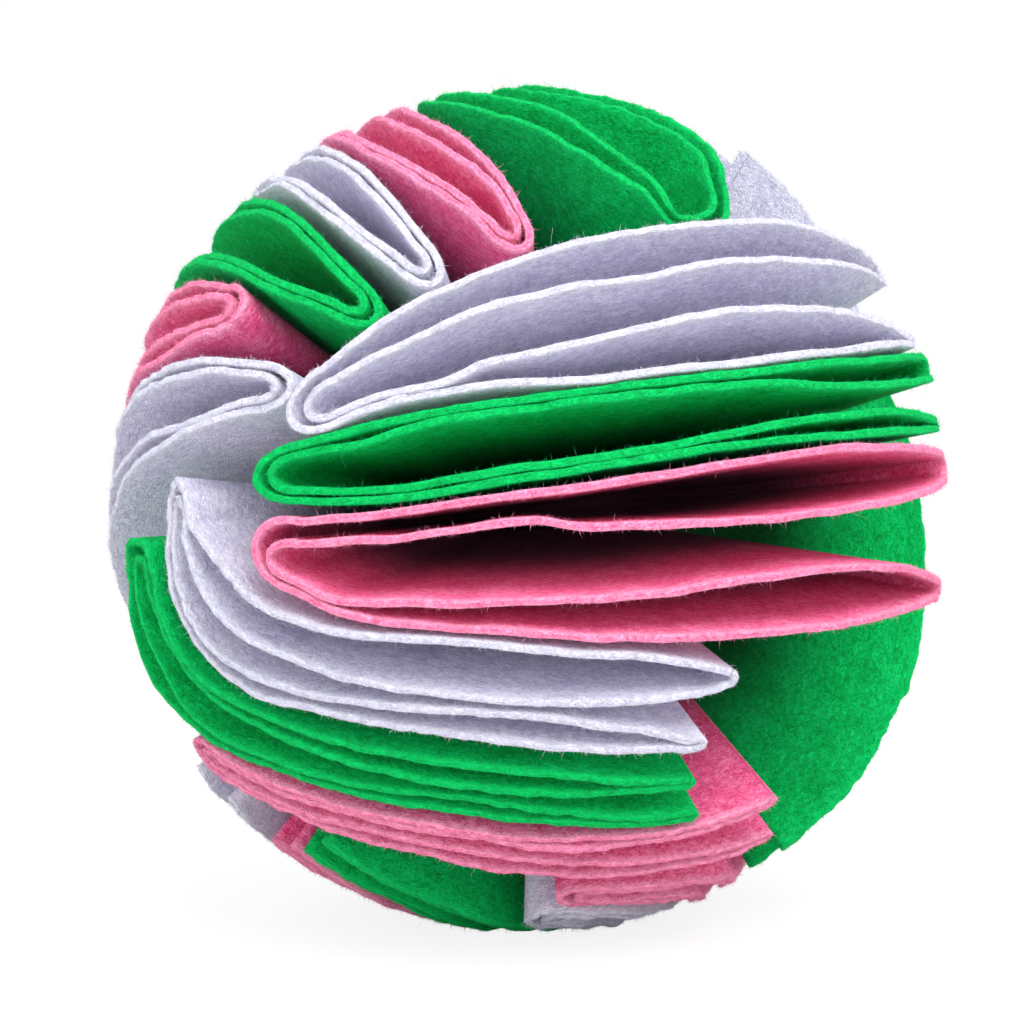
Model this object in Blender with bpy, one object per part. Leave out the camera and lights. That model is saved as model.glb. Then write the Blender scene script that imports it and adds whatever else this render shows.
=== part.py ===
"""Sniffing ball: felt discs folded in quarters, strung on cords by their tips and pulled into a ball.

Every leaf is one round of felt, folded in half and in half again. Its tip is held at the ball's
middle and its rim shows outside as two nested U lines. Angles on the ball are in degrees:
longitude runs to the right from the front (-Y), latitude runs up.
"""
import bpy
import bmesh
import numpy as np
from mathutils import Vector

# Driving dimensions, in metres
BALL_R = 0.070            # from the middle to the rims
FELT = 0.0015             # thickness of the felt at the rims
TIP_R = 0.009             # where the pressed tips of the folded discs end
PRESSED_R = 0.0165        # inside this the four layers are pressed into one
CORD_D = 0.0010           # thickness of the stringing cord
CORD_PATH_R = 0.0125      # from the middle to the cord where it runs through the tips
CORD_CLEARANCE = 0.0003   # between the cord and the felt
REST_DEPTH = 0.0020       # how deep the lowest rims are pressed flat
STRAND_GAP = 0.0005       # between the cords where they run side by side through the tie
WELD = 0.00001            # points nearer than this are one point

# The five places along a leaf where its four lines are given, as shares of its length
STATION_SHARES = (0.06, 0.2, 0.45, 0.75, 1.0)
STEPS = 8                 # points on each line of a leaf
NOSE_STEPS = 4            # spans round half of each closed end
NOSE_GAP = 2.2            # from the outer fold to the inner fold, degrees

GREEN = (0.0, 0.42, 0.08, 1)
PINK = (0.85, 0.13, 0.28, 1)
LAVENDER = (0.60, 0.58, 0.78, 1)
CORD_COLOUR = (0.85, 0.85, 0.82, 1)

# How far a leaf's lines lie to the left of its middle line, in degrees, at the five stations:
# outer left, inner left, inner right and outer right. These three sets are for leaves out of sight.
EVEN = ((3.2, 5.4, 6.2, 6.2, 5.4), (1.2, 2.6, 3.0, 3.0, 3.8),
        (-1.2, -2.6, -3.0, -3.0, -3.8), (-3.2, -5.4, -6.2, -6.2, -5.4))
OPEN = ((3.4, 7.0, 8.6, 8.0, 6.4), (1.2, 3.4, 4.2, 4.0, 4.6),
        (-1.2, -3.0, -3.6, -3.8, -4.4), (-3.4, -6.4, -8.0, -7.8, -6.2))
FLAT = ((2.8, 4.2, 4.6, 4.6, 4.0), (1.0, 2.0, 2.2, 2.2, 2.4),
        (-1.0, -2.0, -2.2, -2.2, -2.4), (-2.8, -4.2, -4.6, -4.6, -4.0))

# Each leaf: colour, middle line from the closed end to the tips as (longitude, latitude), its
# lines, and how far its left and right tips reach as shares of its length.
LEAVES = {
    "lavender_leaf_1": (LAVENDER, ((-29, 10), (-15, 17), (9, 24), (38, 28), (72, 27)),
        ((3.4, 6.2, 8.4, 9.5, 6.5), (1.4, 3.0, 2.5, 3.8, 4.9),
         (-1.3, -3.0, -4.0, -3.0, -4.8), (-3.0, -5.2, -8.0, -8.2, -6.4)), (1.0, 0.95)),
    "green_leaf_1": (GREEN, ((-34, 4), (-15, 6), (8, 9), (38, 13), (71, 15)),
        ((2.1, 3.7, 4.1, 4.4, 4.6), (0.5, 2.1, 2.5, 1.6, 3.0),
         (-1.6, -2.9, -2.8, -2.1, -3.0), (-3.2, -4.5, -4.4, -4.4, -4.6)), (1.0, 0.95)),
    "pink_leaf_1": (PINK, ((-34, -3), (-15, -6), (8, -6), (38, -4), (71, -2)),
        ((2.8, 6.1, 8.7, 10.1, 8.4), (0.4, 3.2, 4.0, 4.2, 6.8),
         (-3.2, -5.0, -4.4, -3.0, -7.4), (-5.0, -7.0, -8.9, -10.4, -9.0)), (1.0, 0.95)),
    "lavender_leaf_2": (LAVENDER, ((-48, 2), (-46, -9), (-41, -15), (-28, -19), (-4, -22), (25, -24)),
        ((3.2, 6.4, 5.6, 6.0, 4.6), (1.0, 2.2, 0.4, 0.2, 3.0),
         (-1.2, -3.0, -2.6, -1.8, -2.8), (-3.0, -5.4, -4.8, -5.4, -4.4)), (1.0, 0.97)),
    "green_leaf_2": (GREEN, ((-58, -4), (-58.5, -14), (-54, -23), (-36, -30), (-5, -35), (25, -36.5)),
        ((3.4, 4.6, 3.9, 3.6, 3.2), (1.6, 2.6, 1.6, 0.8, 1.6),
         (-2.4, -3.4, -1.8, -1.4, -2.2), (-5.0, -6.0, -3.8, -3.7, -3.5)), (0.98, 1.0)),
    "pink_leaf_2": (PINK, ((-61.5, -31.5), (-45, -37.2), (-20, -43), (11, -47), (45, -42)),
        ((2.2, 2.3, 2.9, 4.1, 4.6), (0.6, 0.7, 1.3, 2.2, 3.0),
         (-1.0, -0.9, -0.6, -1.2, -3.0), (-2.6, -2.6, -3.4, -4.0, -4.6)), (0.98, 1.0)),
    "lavender_leaf_3": (LAVENDER, ((-30, 14.4), (-45, 14), (-64, 10), (-80, 2), (-95, -8), (-108, -20)),
        ((2.6, 4.4, 6.0, 7.4, 6.0), (1.0, 2.6, 2.6, 3.8, 4.4),
         (-0.9, -2.6, -3.8, -4.0, -4.4), (-2.6, -4.6, -5.8, -6.6, -6.0)), (1.0, 1.0)),
    "pink_leaf_3": (PINK, ((-42, 25), (-55, 25.5), (-68, 24), (-96, 16), (-120, 5)),
        ((3.4, 5.6, 5.8, 6.0, 5.0), (1.4, 3.0, 3.0, 3.0, 3.4),
         (-1.0, -2.0, -3.0, -3.0, -3.4), (-3.0, -4.6, -5.8, -6.0, -5.0)), (1.0, 1.0)),
    "green_leaf_3": (GREEN, ((-20, 22.5), (-31, 29), (-50, 37), (-72, 39), (-100, 34), (-122, 25)),
        ((2.4, 4.6, 5.6, 6.0, 5.0), (0.8, 3.0, 3.6, 3.4, 3.4),
         (-1.0, -2.4, -3.0, -3.0, -3.4), (-2.6, -4.1, -5.2, -6.0, -5.0)), (1.0, 1.0)),
    "lavender_leaf_4": (LAVENDER, ((-12.5, 27), (-25, 37.5), (-47, 49), (-75, 52.5), (-106, 48), (-130, 39)),
        ((2.2, 3.4, 4.4, 5.0, 5.0), (0.6, 1.8, 2.8, 3.4, 3.4),
         (-0.8, -1.6, -1.4, -2.0, -3.4), (-2.4, -3.4, -3.4, -4.4, -5.0)), (1.0, 1.0)),
    "pink_leaf_4": (PINK, ((-1.3, 31.6), (-9, 42), (-31, 56), (-62, 64.5), (-106, 61), (-139, 52)),
        ((2.4, 4.4, 5.4, 5.8, 5.0), (0.8, 2.8, 3.8, 4.0, 3.4),
         (-0.8, -1.2, -0.6, -1.4, -3.4), (-2.4, -3.6, -4.0, -4.4, -5.0)), (1.0, 1.0)),
    "green_leaf_4": (GREEN, ((35, 40.5), (27, 50.5), (15, 60), (-14, 71), (-70, 80), (-165, 76), (-172, 63)),
        ((6.0, 9.0, 7.4, 5.4, 5.0), (4.0, 7.2, 5.8, 3.8, 3.4),
         (-1.2, -3.6, -3.8, -4.4, -3.4), (-4.0, -7.0, -7.0, -6.6, -5.0)), (1.0, 1.0)),
    "lavender_leaf_5": (LAVENDER, ((-165, -41), (-149, -52), (-122, -58), (-95, -55), (-77, -46), (-67, -39)),
        FLAT, (1.0, 1.0)),
    "pink_leaf_5": (PINK, ((176, -44), (-178, -58), (-162, -71), (-110, -78.5), (-64, -71), (-59, -61.5),
        (-60, -50)), FLAT, (1.0, 1.0)),
    "green_leaf_5": (GREEN, ((157, -50), (158, -64), (154, -78), (50, -86.5), (-16, -75), (-26, -66),
        (-36, -57), (-44, -48)), FLAT, (1.0, 1.0)),
    "lavender_leaf_6": (LAVENDER, ((0, -63.5), (20, -67.5), (50, -72.5), (90, -73.5), (120, -63),
        (133, -49), (138, -41)), ((4.2, 4.0, 4.4, 4.6, 4.0), (2.4, 2.2, 2.2, 2.2, 2.4),
         (-2.0, -2.2, -2.2, -2.2, -2.4), (-4.0, -4.4, -4.6, -4.6, -4.0)), (1.0, 1.0)),
    "pink_leaf_6": (PINK, ((6.5, -56.8), (25, -57.3), (48, -58.5), (72, -63.5), (96, -61), (112, -51),
        (120, -42)),
        ((2.4, 3.0, 3.0, 3.2, 3.4), (0.8, 1.2, 1.2, 1.4, 1.8),
         (-0.8, -1.0, -1.0, -1.2, -1.8), (-2.4, -2.8, -2.8, -3.0, -3.4)), (1.0, 1.0)),
    "green_leaf_6": (GREEN, ((-130, -31), (-136, -10), (-141, 12), (-149, 34)), EVEN, (1.0, 1.0)),
    "green_leaf_7": (GREEN, ((97, 36), (98, 12), (98, -14), (92, -36), (73, -54)), EVEN, (1.0, 1.0)),
    "lavender_leaf_7": (LAVENDER, ((177, -28), (177, -4), (176, 21), (174, 48)), EVEN, (1.0, 1.0)),
    "lavender_leaf_8": (LAVENDER, ((121, -20), (120, 5), (114, 31), (105, 50), (92, 62)),
        EVEN, (1.0, 1.0)),
    "pink_leaf_7": (PINK, ((140, -29), (140, 0), (136, 28), (128, 56)), EVEN, (1.0, 1.0)),
    "pink_leaf_8": (PINK, ((-158, -29), (-161, -5), (-164, 20), (-167, 46)), EVEN, (1.0, 1.0)),
    "green_leaf_8": (GREEN, ((159, -30), (159, 0), (157, 28), (152, 54)), EVEN, (1.0, 1.0)),
}


def direction(longitude, latitude):
    """Unit vector of a place on the ball: to the right, away from the front, up."""
    a, b = np.radians(longitude), np.radians(latitude)
    return np.array([np.cos(b) * np.sin(a), -np.cos(b) * np.cos(a), np.sin(b)])


def smooth(places, values, wanted):
    """A curve through the values at those places, as one cubic for each span with averaged slopes."""
    places, values = np.asarray(places, float), np.asarray(values, float)
    spans = np.diff(places)
    slopes = np.diff(values, axis=0) / spans.reshape(-1, *[1] * (values.ndim - 1))
    at = np.concatenate([slopes[:1], (slopes[:-1] + slopes[1:]) / 2, slopes[-1:]])
    k = np.clip(np.searchsorted(places, wanted, side="right") - 1, 0, len(spans) - 1)
    shape = (-1, *[1] * (values.ndim - 1))
    h, u = spans[k].reshape(shape), ((wanted - places[k]) / spans[k]).reshape(shape)
    return ((1 + 2 * u) * (1 - u) ** 2 * values[k] + u * (1 - u) ** 2 * h * at[k]
            + u * u * (3 - 2 * u) * values[k + 1] + u * u * (u - 1) * h * at[k + 1])


class Path:
    """The middle line of a leaf on the ball, as a smooth curve through its places."""

    def __init__(self, places):
        corners = np.array([direction(*p) for p in places])
        turn = np.arccos(np.clip((corners[:-1] * corners[1:]).sum(1), -1, 1))
        ends = np.concatenate([[0], np.cumsum(turn)])
        fine = np.linspace(0, ends[-1], 201)
        points = smooth(ends, corners, fine)
        points /= np.linalg.norm(points, axis=1)[:, None]
        step = np.linalg.norm(np.diff(points, axis=0), axis=1)
        self.far = np.concatenate([[0], np.cumsum(step)])
        self.points = points
        self.length = np.degrees(self.far[-1])

    def at(self, along):
        """Place, way forward and way to the left, at so many degrees from the closed end."""
        s = np.radians(np.atleast_1d(along))
        grid = np.stack([np.interp(s, self.far, self.points[:, i]) for i in range(3)], 1)
        ahead = np.stack([np.interp(s + 0.01, self.far, self.points[:, i]) for i in range(3)], 1)
        behind = np.stack([np.interp(s - 0.01, self.far, self.points[:, i]) for i in range(3)], 1)
        grid /= np.linalg.norm(grid, axis=1)[:, None]
        way = ahead - behind
        way -= (way * grid).sum(1)[:, None] * grid
        way /= np.linalg.norm(way, axis=1)[:, None]
        return grid, way, np.cross(grid, way)

    def place(self, along, left):
        """Unit vector of the place so far along and so far to the left, both in degrees."""
        here, _, side = self.at(along)
        a = np.radians(np.atleast_1d(left))[:, None]
        return np.cos(a) * here + np.sin(a) * side


def leaf_loop(leaf, steps=STEPS, nose_steps=NOSE_STEPS):
    """The rim of a leaf as two rows of unit vectors, outer U and inner U, paired point by point.

    Both rows run from the left tip round the closed end to the right tip, in the felt's middle.
    """
    _, places, lines, reach = leaf
    path = Path(places)
    stations = np.array(STATION_SHARES)
    rows = []
    for left, right, nose in ((lines[0], lines[3], 0.0), (lines[1], lines[2], NOSE_GAP)):
        start = stations[0]
        shares = start + (1 - start) * np.linspace(0, 1, steps)
        left_at = smooth(stations, left, shares)
        right_at = smooth(stations, right, shares)
        middle, half = (left_at[0] + right_at[0]) / 2, (left_at[0] - right_at[0]) / 2
        turn = np.pi * np.arange(1, 2 * nose_steps) / (2 * nose_steps)
        nose_along = start * path.length - (start * path.length - nose) * np.sin(turn)
        scale = [start + (shares - start) * (r - start) / (1 - start) for r in reach]
        along = np.concatenate([scale[0][::-1] * path.length, nose_along, scale[1] * path.length])
        across = np.concatenate([left_at[::-1], middle + half * np.cos(turn), right_at])
        rows.append(path.place(along, across))
    return np.array(rows)

# Each cord: its run through the leaves as (longitude, latitude), where its two ends turn inwards
# between the leaves, as (longitude, latitude, share of the run's distance from the middle), and
# which way it lies round the tie's middle line, in degrees
CORDS = {
    "front_cord": (((9, 24), (8, 9), (6, -6), (3, -22.3), (8, -35.5), (17, -46.8), (25, -57.3),
                    (38, -70.5), (52, -86), (-116, -78), (-122, -58)),
                   ((10, 37, 0.97), (11, 43, 0.72)), ((-123, -45, 0.97), (-124, -39, 0.72)), 200),
    "left_cord": (((-66, 9), (-72, 23), (-70, 39), (-71, 52.5), (-68, 64), (-65, 79.5)),
                  ((-69.5, -6, 0.97), (-73, -12, 0.72)), ((60, 82, 0.97), (75, 75, 0.72)), 80),
    "rear_cord": (((98, 2), (120, 3), (140, 2), (159, 1), (177, 0), (-162, -2), (-138, -4)),
                  ((82, 2, 0.97), (77, 3, 0.72)), ((-123, -8, 0.97), (-118, -10, 0.72)), 310),
}
TIE_WAY = (0.771, -0.311, 0.555)   # the cords run side by side this way through the tie
TIE_SPACING = (CORD_D + STRAND_GAP) / 3 ** 0.5   # from the tie's middle line to each cord's
TIE_HALF = 1.6 * CORD_D            # half the length on which the cords run straight there


def offset(loop, far):
    """A closed loop of unit vectors moved sideways by an angle in radians, mitred at the corners."""
    ahead = np.roll(loop, -1, axis=0) - loop
    side = np.cross(loop, ahead)
    side /= np.linalg.norm(side, axis=1)[:, None]
    both = side + np.roll(side, 1, axis=0)
    both /= np.linalg.norm(both, axis=1)[:, None]
    reach = far / np.clip((both * side).sum(1), 0.6, 1)
    moved = loop + reach[:, None] * both
    return moved / np.linalg.norm(moved, axis=1)[:, None]


def leaf_mesh(name, leaf, centre):
    """A folded disc as one closed shell: a band of felt at the rim, solid where it is pressed.

    Every section of it is a piece of a sphere about the ball's middle, so the felt's faces run
    straight in to the middle and no leaf can cut another.
    """
    outer, inner = leaf_loop(leaf)
    count = len(outer)
    loop = np.concatenate([outer, inner[::-1]])
    half = FELT / 2 / BALL_R
    to_inner = np.cross(outer[count // 2], outer[count // 2 + 1]) @ inner[count // 2]
    sign = 1 if to_inner > 0 else -1
    skin = offset(loop, -sign * half)
    hollow = offset(loop, sign * half)
    bm = bmesh.new()

    def ring(points, radius):
        return [bm.verts.new(Vector(p * radius) - centre) for p in points]

    def strip(a, b, closed):
        last = len(a) if closed else len(a) - 1
        for i in range(last):
            j = (i + 1) % len(a)
            bm.faces.new((a[i], a[j], b[j], b[i]))

    skin_tip, skin_rim = ring(skin, TIP_R), ring(skin, BALL_R)
    hollow_end, hollow_rim = ring(hollow, PRESSED_R), ring(hollow, BALL_R)
    strip(skin_tip, skin_rim, True)
    strip(skin_rim, hollow_rim, True)
    strip(hollow_rim, hollow_end, True)
    strip(hollow_end[:count], hollow_end[:count - 1:-1], False)
    strip(skin_tip[:count], skin_tip[:count - 1:-1], False)
    bmesh.ops.recalc_face_normals(bm, faces=bm.faces)
    mesh = bpy.data.meshes.new(name)
    bm.to_mesh(mesh)
    bm.free()
    if mesh_volume(mesh) < 0:
        mesh.flip_normals()
    return mesh


def mesh_volume(mesh):
    """Volume inside a closed mesh, negative where its faces point inwards."""
    bm = bmesh.new()
    bm.from_mesh(mesh)
    volume = bm.calc_volume(signed=True)
    bm.free()
    return volume


def material(name, colour, roughness):
    """A plain surface of one colour."""
    mat = bpy.data.materials.new(name)
    mat.use_nodes = True
    shader = mat.node_tree.nodes["Principled BSDF"]
    shader.inputs["Base Color"].default_value = colour
    shader.inputs["Roughness"].default_value = roughness
    shader.inputs["Metallic"].default_value = 0.0
    mat.diffuse_color = colour
    return mat


def cord_points(name):
    """Places along a closed cord: out through its leaves and back through the tie."""
    run, first, last, turn = CORDS[name]
    turn = np.radians(turn)
    way = Vector(TIE_WAY).normalized()
    side = way.orthogonal().normalized()
    aside = (np.cos(turn) * side + np.sin(turn) * way.cross(side)) * TIE_SPACING
    outside = [Vector(direction(*p)) * CORD_PATH_R for p in run]
    start = [Vector(direction(*p[:2])) * CORD_PATH_R * p[2] for p in first]
    end = [Vector(direction(*p[:2])) * CORD_PATH_R * p[2] for p in last]
    # The end that lies farther along the tie's way leaves the tie on that side
    flip = 1 if start[0].dot(way) < end[0].dot(way) else -1
    inside = [aside + flip * way * TIE_HALF, aside - flip * way * TIE_HALF]
    corners = np.array([list(p) for p in start[:1] + outside + end + inside + start[:0:-1]])
    return corners


def closed_curve(corners, spacing):
    """Points at even steps along a smooth closed curve through the corners."""
    count = len(corners)
    fine = []
    for i in range(count):
        a, b, c, d = (corners[(i + k) % count] for k in (-1, 0, 1, 2))
        # Each knot's share of the way is the root of its distance, so that no loop forms
        t = np.cumsum([0] + [np.linalg.norm(q - p) ** 0.5 for p, q in ((a, b), (b, c), (c, d))])
        for u in np.linspace(t[1], t[2], 24, endpoint=False):
            ab = (t[1] - u) / (t[1] - t[0]) * a + (u - t[0]) / (t[1] - t[0]) * b
            bc = (t[2] - u) / (t[2] - t[1]) * b + (u - t[1]) / (t[2] - t[1]) * c
            cd = (t[3] - u) / (t[3] - t[2]) * c + (u - t[2]) / (t[3] - t[2]) * d
            abc = (t[2] - u) / (t[2] - t[0]) * ab + (u - t[0]) / (t[2] - t[0]) * bc
            bcd = (t[3] - u) / (t[3] - t[1]) * bc + (u - t[1]) / (t[3] - t[1]) * cd
            fine.append((t[2] - u) / (t[2] - t[1]) * abc + (u - t[1]) / (t[2] - t[1]) * bcd)
    fine = np.array(fine)
    step = np.linalg.norm(np.roll(fine, -1, axis=0) - fine, axis=1)
    far = np.concatenate([[0], np.cumsum(step)])
    fine = np.concatenate([fine, fine[:1]])
    wanted = np.linspace(0, far[-1], int(far[-1] / spacing), endpoint=False)
    return np.stack([np.interp(wanted, far, fine[:, i]) for i in range(3)], 1)


def tube(name, points, radius, collection):
    """A closed round cord along the points, as a mesh object."""
    curve = bpy.data.curves.new(name, "CURVE")
    curve.dimensions = "3D"
    curve.bevel_depth = radius
    curve.bevel_resolution = 2
    spline = curve.splines.new("POLY")
    spline.points.add(len(points) - 1)
    for point, place in zip(spline.points, points):
        point.co = (*place, 1)
    spline.use_cyclic_u = True
    rope = bpy.data.objects.new(name + "_curve", curve)
    collection.objects.link(rope)
    bpy.context.view_layer.update()
    mesh = bpy.data.meshes.new_from_object(rope.evaluated_get(bpy.context.evaluated_depsgraph_get()))
    place = rope.matrix_world.copy()
    bpy.data.objects.remove(rope)
    bpy.data.curves.remove(curve)
    bm = bmesh.new()
    bm.from_mesh(mesh)
    bmesh.ops.remove_doubles(bm, verts=bm.verts, dist=WELD)
    bmesh.ops.recalc_face_normals(bm, faces=bm.faces)
    bm.to_mesh(mesh)
    bm.free()
    if mesh_volume(mesh) < 0:
        mesh.flip_normals()
    mesh.name = name
    mesh.materials.clear()
    made = bpy.data.objects.new(name, mesh)
    made.matrix_world = place
    collection.objects.link(made)
    return made


def cut(target, cutter):
    """Takes the cutter's shape out of the target."""
    boolean = target.modifiers.new(cutter.name, "BOOLEAN")
    boolean.operation = "DIFFERENCE"
    boolean.solver = "EXACT"
    boolean.object = cutter


def crossing(path, run):
    """The place on a leaf's middle line that a cord's run passes, and how near it passes."""
    spots = np.array([direction(*p) for p in run])
    ends = np.concatenate([[0], np.cumsum(np.arccos((spots[:-1] * spots[1:]).sum(1)))])
    line = smooth(ends, spots, np.linspace(0, ends[-1], 400))
    line /= np.linalg.norm(line, axis=1)[:, None]
    near = path.points @ line.T
    index = int(near.max(1).argmax())
    return path.points[index], float(np.degrees(np.arccos(min(1, near[index].max()))))


def build():
    """Makes the ball standing on its lowest rims, with its middle over the origin."""
    for thing in list(bpy.data.objects):
        bpy.data.objects.remove(thing)
    parts = bpy.data.collections.new("sniffing_ball")
    cutters = bpy.data.collections.new("cutters")
    bpy.context.scene.collection.children.link(parts)
    bpy.context.scene.collection.children.link(cutters)
    middle = bpy.data.objects.new("ball_middle", None)
    middle.location = (0, 0, BALL_R - REST_DEPTH)
    parts.objects.link(middle)
    bpy.context.view_layer.update()

    cord_look = material("cord", CORD_COLOUR, 0.8)
    bores = {}
    for name in CORDS:
        points = closed_curve(cord_points(name), 2.2 * CORD_D)
        cord = tube(name, points, CORD_D / 2, parts)
        cord.data.materials.append(cord_look)
        cord.data.shade_smooth()
        cord.parent = middle
        bore = tube(name + "_bore", points, CORD_D / 2 + CORD_CLEARANCE, cutters)
        bore.hide_render = True
        bore.display_type = "WIRE"
        bore.parent = middle
        bores[name] = bore

    bpy.ops.mesh.primitive_torus_add(
        major_radius=TIE_SPACING + CORD_D + CORD_CLEARANCE, minor_radius=CORD_D / 2,
        major_segments=24, minor_segments=8)
    tie = bpy.context.object
    tie.name = "middle_tie"
    tie.rotation_euler = Vector(TIE_WAY).to_track_quat("Z", "Y").to_euler()
    for holder in list(tie.users_collection):
        holder.objects.unlink(tie)
    parts.objects.link(tie)
    tie.data.materials.append(cord_look)
    tie.data.shade_smooth()
    tie.parent = middle

    bpy.ops.mesh.primitive_cube_add(size=1)
    floor = bpy.context.object
    floor.name = "floor_cutter"
    floor.scale = (2 * BALL_R, 2 * BALL_R, BALL_R)
    floor.location = (0, 0, -BALL_R / 2)
    floor.hide_render = True
    floor.display_type = "WIRE"
    for holder in list(floor.users_collection):
        holder.objects.unlink(floor)
    cutters.objects.link(floor)

    felt = {GREEN: material("green_felt", GREEN, 0.95), PINK: material("pink_felt", PINK, 0.95),
            LAVENDER: material("lavender_felt", LAVENDER, 0.95)}
    for name, leaf in LEAVES.items():
        path = Path(leaf[1])
        found = {cord: crossing(path, CORDS[cord][0]) for cord in CORDS}
        cord = min(found, key=lambda c: found[c][1])
        hole = Vector(found[cord][0]) * CORD_PATH_R
        made = bpy.data.objects.new(name, leaf_mesh(name, leaf, hole))
        parts.objects.link(made)
        made.parent = middle
        made.location = hole
        made.data.materials.append(felt[leaf[0]])
        cut(made, bores[cord])
        lowest = min(corner.co.z for corner in made.data.vertices) + hole.z
        if lowest < REST_DEPTH - BALL_R:
            cut(made, floor)


build()
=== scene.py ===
"""A sniffing ball: 24 felt discs, folded in quarters and strung by their tips into a ball.

Lengths are in metres. Angles on the ball are in degrees: longitude runs to the right from the
front (-Y), latitude runs up.
"""
import bpy
import numpy as np
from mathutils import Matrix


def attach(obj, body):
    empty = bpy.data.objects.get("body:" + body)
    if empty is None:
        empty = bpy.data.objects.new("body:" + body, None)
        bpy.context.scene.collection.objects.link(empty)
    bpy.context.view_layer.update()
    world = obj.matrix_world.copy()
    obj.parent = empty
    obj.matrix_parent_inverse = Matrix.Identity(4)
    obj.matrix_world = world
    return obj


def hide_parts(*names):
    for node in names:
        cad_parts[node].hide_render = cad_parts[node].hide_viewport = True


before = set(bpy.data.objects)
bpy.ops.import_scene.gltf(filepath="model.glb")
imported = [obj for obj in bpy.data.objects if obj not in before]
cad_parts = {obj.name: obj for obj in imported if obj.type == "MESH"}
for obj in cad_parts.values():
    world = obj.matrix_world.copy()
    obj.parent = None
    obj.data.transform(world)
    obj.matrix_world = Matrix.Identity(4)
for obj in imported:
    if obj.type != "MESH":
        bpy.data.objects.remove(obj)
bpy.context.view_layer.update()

# The front leaves: eight felt discs, each folded in half and in half again. Six lie across the
# front of the ball and two show under them. The felt is needle-punched, and the folded tips are
# strung on the front cord, so only the round rims show, each as two nested Us.
BALL_MIDDLE = np.array([0.0, 0.0, 0.0680])
RIM_R = 0.0698            # from the ball's middle to the rims
TIP_R = 0.0092            # from the ball's middle to the folded tips
PRESSED_R = 0.0168        # inside this the layers are pressed into one
FELT = 0.00115            # thickness of the felt at the rims, without its loose fibres
REST_HEIGHT = 0.0
STATION_SHARES = np.array([0.06, 0.2, 0.45, 0.75, 1.0])
CLOSE_STATION_SHARES = np.array([0.06, 0.12, 0.2, 0.28, 0.33, 0.365, 0.45, 0.6, 0.75, 0.88, 1.0])
LINE_STEPS = 400          # steps on a leaf's middle line
AHEAD = 0.6               # degrees each way over which the middle line's direction is taken
TOUCHING_GAP = 1.06       # degrees between two layers that touch
LOOSE_GAP = 1.5           # two layers no wider apart than this, in degrees, are made to touch
FREE_GAP = 2.5            # and from this gap on they stay as they are
NOSE_GAP = 2.2            # degrees from the outer fold to the inner fold
FINE_STEPS = 150          # places along each side of a U
NOSE_STEPS = 18           # steps round half of a closed end
ROUND_STEPS = 9           # steps round the fold at a tip
DOWN_ROWS = 10            # rows of places down each face of the felt
DOWN_POWER = 1.8          # above 1, so that these rows lie closer together towards the rim
OVER_STEPS = 6            # steps over the cut edge
EDGE_POWER = 0.6          # below 1, so that the cut edge is flatter than a half round
RIM_BULGE = 0.00025       # how far the cut edge stands out
WAVE = 0.00020            # slow waves of the felt to each side
RAGGED = 0.00017          # roughness of the rim's height
UNEVEN = 0.0005           # slow waves of the rim's height
UNEVEN_FROM_SHARE = 0.8   # these two, and a sunk part, begin at this share of the way out
PLUMP_SHARE = 0.13        # unevenness of the felt's thickness

# What a leaf has where it gives nothing else: no dents, no sunk part, and a closed end that is
# half an ellipse.
USUAL_ENDING = ((), (0.0, 1.0), 1.0)


def direction(longitude, latitude):
    """Unit vector of a place on the ball: to the right, away from the front, up."""
    a, b = np.radians(longitude), np.radians(latitude)
    return np.array([np.cos(b) * np.sin(a), -np.cos(b) * np.cos(a), np.sin(b)])


def unit(rows):
    """Each row divided by its own length."""
    return rows / np.linalg.norm(rows, axis=-1, keepdims=True)


def smooth(places, values, wanted):
    """A curve through the values at those places: one cubic for each span, with averaged slopes."""
    spans = np.diff(places)
    slopes = np.diff(values, axis=0) / spans.reshape(-1, *[1] * (values.ndim - 1))
    at = np.concatenate([slopes[:1], (slopes[:-1] + slopes[1:]) / 2, slopes[-1:]])
    k = np.clip(np.searchsorted(places, wanted, side="right") - 1, 0, len(spans) - 1)
    shape = (-1, *[1] * (values.ndim - 1))
    h, u = spans[k].reshape(shape), ((wanted - places[k]) / spans[k]).reshape(shape)
    return ((1 + 2 * u) * (1 - u) ** 2 * values[k] + u * (1 - u) ** 2 * h * at[k]
            + u * u * (3 - 2 * u) * values[k + 1] + u * u * (u - 1) * h * at[k + 1])


def middle_line(places):
    """The line down a leaf's middle on the ball: unit vectors, and how far along each is in degrees."""
    corners = np.array([direction(*place) for place in places])
    turn = np.arccos(np.clip((corners[:-1] * corners[1:]).sum(1), -1, 1))
    ends = np.concatenate([[0], np.cumsum(turn)])
    points = unit(smooth(ends, corners, np.linspace(0, ends[-1], LINE_STEPS + 1)))
    far = np.concatenate([[0], np.cumsum(np.linalg.norm(np.diff(points, axis=0), axis=1))])
    return points, np.degrees(far)


def lay(line, along, left):
    """Places on the ball: so many degrees along the middle line, then so many square to it."""
    points, far = line
    here, ahead, behind = [
        np.stack([np.interp(along + more, far, points[:, i]) for i in range(3)], 1)
        for more in (0, AHEAD, -AHEAD)]
    here = unit(here)
    way = ahead - behind
    side = np.cross(here, unit(way - (way * here).sum(1)[:, None] * here))
    turn = np.radians(left)[:, None]
    return np.cos(turn) * here + np.sin(turn) * side


def slow_wave(rng, turn, orders):
    """A wave that closes on itself: cosines of the given orders with random phases, scaled to 1."""
    sizes = rng.normal(size=len(orders)) / np.sqrt(orders)
    phases = rng.uniform(0, 2 * np.pi, len(orders))
    wave = (sizes[:, None] * np.cos(orders[:, None] * turn[None, :] + phases[:, None])).sum(0)
    return wave / max(np.abs(wave).max(), 1e-9)


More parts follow.
